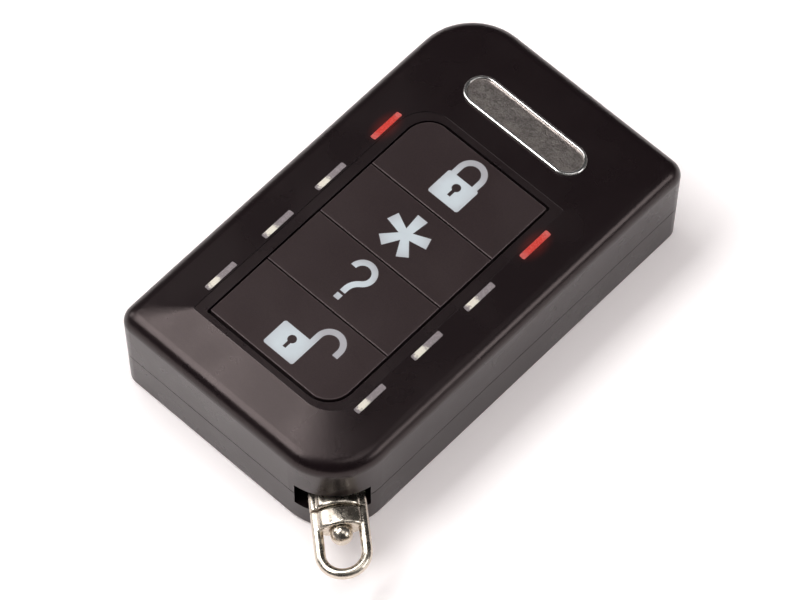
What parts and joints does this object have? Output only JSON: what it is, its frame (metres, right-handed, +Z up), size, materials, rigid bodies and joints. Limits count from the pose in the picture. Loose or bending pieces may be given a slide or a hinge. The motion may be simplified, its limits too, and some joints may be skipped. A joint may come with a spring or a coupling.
{
  "type": "alarm key fob",
  "caption": "Two-way alarm remote with a stack of padlock, star and question keys, side indicator windows, bare badge and a swivelling key-ring link.",
  "frame": {"origin": "middle of the flat back face, on the surface the fob lies on", "axes": "+Z up through the keys, +Y along the fob towards the badge, +X to the right seen from above"},
  "size_m": [0.0444, 0.0706, 0.0168],
  "materials": {
    "case_plastic": "fine satin grain, brown black",
    "key_plastic": "fine satin grain, brown black",
    "legend_white": "smooth white",
    "badge_chrome": "polished plating, bare",
    "window_clear": "milky translucent",
    "window_red": "milky translucent, lit red",
    "lamp_body": "cream resin",
    "inner_plastic": "plain moulded",
    "board_laminate": "green solder mask",
    "cell_steel": "bright steel",
    "contact_steel": "tinned spring steel",
    "chip_black": "moulded epoxy",
    "ceramic_white": "fired ceramic",
    "capacitor_tan": "fired ceramic",
    "screw_steel": "zinc plated",
    "switch_black": "moulded",
    "plunger_plastic": "moulded",
    "link_nickel": "polished warm nickel plating"
  },
  "bodies": {
    "housing": {"top_shell": "case_plastic", "bottom_shell": "case_plastic", "badge": "badge_chrome", "key_guide": "inner_plastic", "circuit_board": "board_laminate", "coin_cell": "cell_steel", "negative_contact": "contact_steel", "battery_clip": "contact_steel", "controller_chip": "chip_black", "radio_chip": "chip_black", "crystal": "cell_steel", "chip_antenna": "ceramic_white", "capacitors": "capacitor_tan", "case_screws": "screw_steel", "switch_lock": "switch_black", "switch_star": "switch_black", "switch_query": "switch_black", "switch_unlock": "switch_black", "window_left_1": "window_red", "lamp_left_1": "lamp_body", "window_left_2": "window_clear", "lamp_left_2": "lamp_body", "window_left_3": "window_clear", "lamp_left_3": "lamp_body", "window_left_4": "window_clear", "lamp_left_4": "lamp_body", "window_right_1": "window_red", "lamp_right_1": "lamp_body", "window_right_2": "window_clear", "lamp_right_2": "lamp_body", "window_right_3": "window_clear", "lamp_right_3": "lamp_body", "window_right_4": "window_clear", "lamp_right_4": "lamp_body"},
    "key_lock": {"key_lock": "key_plastic", "legend_lock": "legend_white", "plunger_lock": "plunger_plastic"},
    "key_star": {"key_star": "key_plastic", "legend_star": "legend_white", "plunger_star": "plunger_plastic"},
    "key_query": {"key_query": "key_plastic", "legend_query": "legend_white", "plunger_query": "plunger_plastic"},
    "key_unlock": {"key_unlock": "key_plastic", "legend_unlock": "legend_white", "plunger_unlock": "plunger_plastic"},
    "link": {"inner_bow": "link_nickel", "swivel_rivet": "link_nickel"},
    "ring_eye": {"outer_bow": "link_nickel"}
  },
  "joints": [
    {"name": "press_lock", "type": "slide", "parent": "housing", "child": "key_lock", "axis": [0, 0, -1], "range_m": [0, 0.0005], "stiffness_N_per_m": 2000, "springref_m": -0.0005},
    {"name": "press_star", "type": "slide", "parent": "housing", "child": "key_star", "axis": [0, 0, -1], "range_m": [0, 0.0005], "stiffness_N_per_m": 2000, "springref_m": -0.0005},
    {"name": "press_query", "type": "slide", "parent": "housing", "child": "key_query", "axis": [0, 0, -1], "range_m": [0, 0.0005], "stiffness_N_per_m": 2000, "springref_m": -0.0005},
    {"name": "press_unlock", "type": "slide", "parent": "housing", "child": "key_unlock", "axis": [0, 0, -1], "range_m": [0, 0.0005], "stiffness_N_per_m": 2000, "springref_m": -0.0005},
    {"name": "link_swing", "type": "hinge", "parent": "housing", "child": "link", "pos_m": [0.01244, -0.02629, 0.0066], "axis": [0, 0, 1], "range_deg": [-19.5, 4.5]},
    {"name": "eye_swivel", "type": "hinge", "parent": "link", "child": "ring_eye", "pos_m": [0.01719, -0.03035, 0.0066], "axis": [0.7604, -0.6494, 0], "continuous": true}
  ]
}
